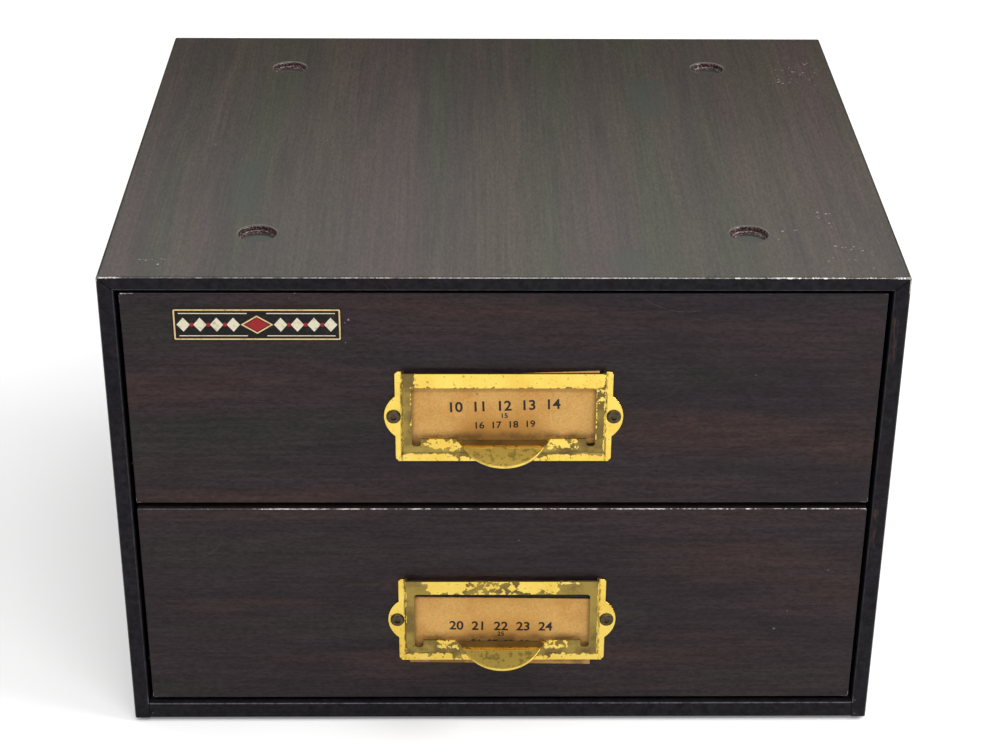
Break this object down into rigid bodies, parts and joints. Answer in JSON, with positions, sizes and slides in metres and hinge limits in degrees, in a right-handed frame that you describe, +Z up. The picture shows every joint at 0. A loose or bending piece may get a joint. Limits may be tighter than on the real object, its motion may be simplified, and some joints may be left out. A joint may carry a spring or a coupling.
{
  "type": "watchmaker parts cabinet",
  "caption": "Stackable sheet-steel parts cabinet in dark wood-grain paint, with sliding drawers divided into bays, brass card-holder pulls, and stacking recesses in its top.",
  "frame": {"origin": "on the floor, at the centre of the four feet, which is also under the centre of the case", "axes": "+X to the right as seen from the front, +Y towards the back panel, +Z up; the drawers open towards -Y"},
  "size_m": [0.267, 0.2375, 0.181],
  "materials": {
    "case_paint": "dark mahogany grain paint under a satin clear coat, edges worn to bare steel",
    "drawer_paint": "very dark mahogany grain paint under a satin clear coat",
    "tray_paint": "plain dark brown enamel",
    "runner_steel": "bare cold-rolled steel, oily and rubbed",
    "foot_steel": "black enamel, rubbed underneath",
    "pull_brass": "lacquered yellow brass with olive-brown tarnish",
    "rivet_steel": "dark blackened steel",
    "label_card": "aged tan card with foxing",
    "transfer_film": "black transfer film with a gold border, glossy"
  },
  "bodies": {
    "case": {"case_wrapper": "case_paint", "bottom_pan": "case_paint", "back_panel": "case_paint", "stacking_feet": "foot_steel", "upper_left_runner": "runner_steel", "upper_right_runner": "runner_steel", "lower_left_runner": "runner_steel", "lower_right_runner": "runner_steel"},
    "upper_drawer": {"upper_drawer_front": "drawer_paint", "upper_drawer_tray": "tray_paint", "upper_left_divider": "tray_paint", "upper_right_divider": "tray_paint", "upper_pull": "pull_brass", "upper_pull_rivets": "rivet_steel", "front_transfer": "transfer_film"},
    "upper_card": {"upper_label_card": "label_card"},
    "lower_drawer": {"lower_drawer_front": "drawer_paint", "lower_drawer_tray": "tray_paint", "lower_left_divider": "tray_paint", "lower_right_divider": "tray_paint", "lower_pull": "pull_brass", "lower_pull_rivets": "rivet_steel"},
    "lower_card": {"lower_label_card": "label_card"}
  },
  "joints": [
    {"name": "upper_drawer_slide", "type": "slide", "parent": "case", "child": "upper_drawer", "axis": [0, -1, 0], "range_m": [0, 0.165]},
    {"name": "upper_card_lift", "type": "slide", "parent": "upper_drawer", "child": "upper_card", "axis": [0, 0, 1], "range_m": [0, 0.029]},
    {"name": "lower_drawer_slide", "type": "slide", "parent": "case", "child": "lower_drawer", "axis": [0, -1, 0], "range_m": [0, 0.165]},
    {"name": "lower_card_lift", "type": "slide", "parent": "lower_drawer", "child": "lower_card", "axis": [0, 0, 1], "range_m": [0, 0.036]}
  ]
}
